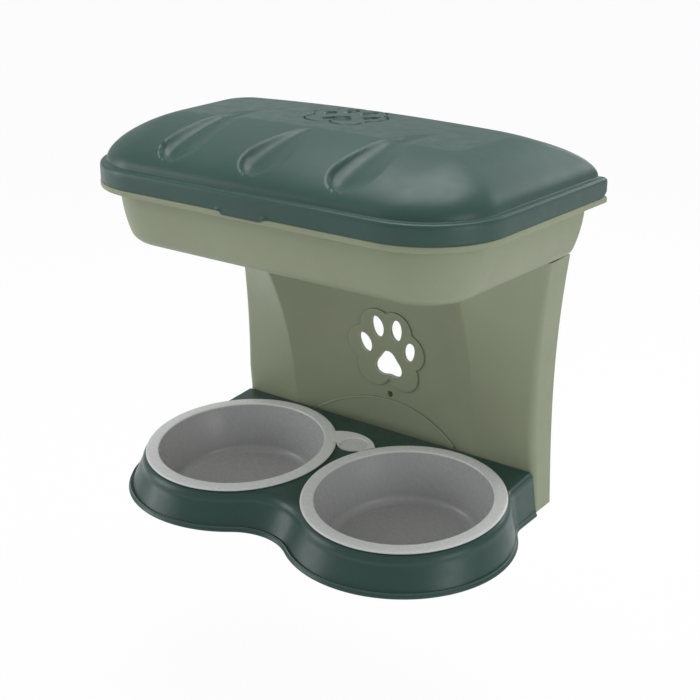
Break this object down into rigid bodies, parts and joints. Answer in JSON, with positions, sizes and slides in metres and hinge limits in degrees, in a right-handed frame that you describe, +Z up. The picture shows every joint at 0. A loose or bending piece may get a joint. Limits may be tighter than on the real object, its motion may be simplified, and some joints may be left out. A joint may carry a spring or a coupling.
{
  "type": "elevated dog feeder with storage",
  "caption": "Wall-hung dog feeder: a lidded storage bin on a hollow column over a sloping tray with lift-out bowls.",
  "frame": {"origin": "where the axis of the wall screw hole under the paw meets the wall", "axes": "+X to the right seen from the front, +Y into the wall, +Z up"},
  "size_m": [0.5456, 0.3165, 0.4844],
  "materials": {
    "sage_plastic": "satin moulded",
    "pine_plastic": "satin moulded",
    "grey_plastic": "satin moulded",
    "steel": "zinc plated"
  },
  "bodies": {
    "stand": {"column": "sage_plastic", "storage_bin": "sage_plastic", "bowl_tray": "pine_plastic", "hinge_pins": "steel", "bin_screws": "steel", "tray_screws": "steel"},
    "lid": {"lid": "pine_plastic"},
    "bowl_left": {"bowl_left": "grey_plastic"},
    "bowl_right": {"bowl_right": "grey_plastic"}
  },
  "joints": [
    {"name": "lid_hinge", "type": "hinge", "parent": "stand", "child": "lid", "pos_m": [0, -0.018, 0.311], "axis": [-1, 0, 0], "range_deg": [0, 40]},
    {"name": "bowl_left_lift", "type": "slide", "parent": "stand", "child": "bowl_left", "axis": [0, -0.068, 0.9977], "range_m": [0, 0.08]},
    {"name": "bowl_right_lift", "type": "slide", "parent": "stand", "child": "bowl_right", "axis": [0, -0.068, 0.9977], "range_m": [0, 0.08]}
  ]
}
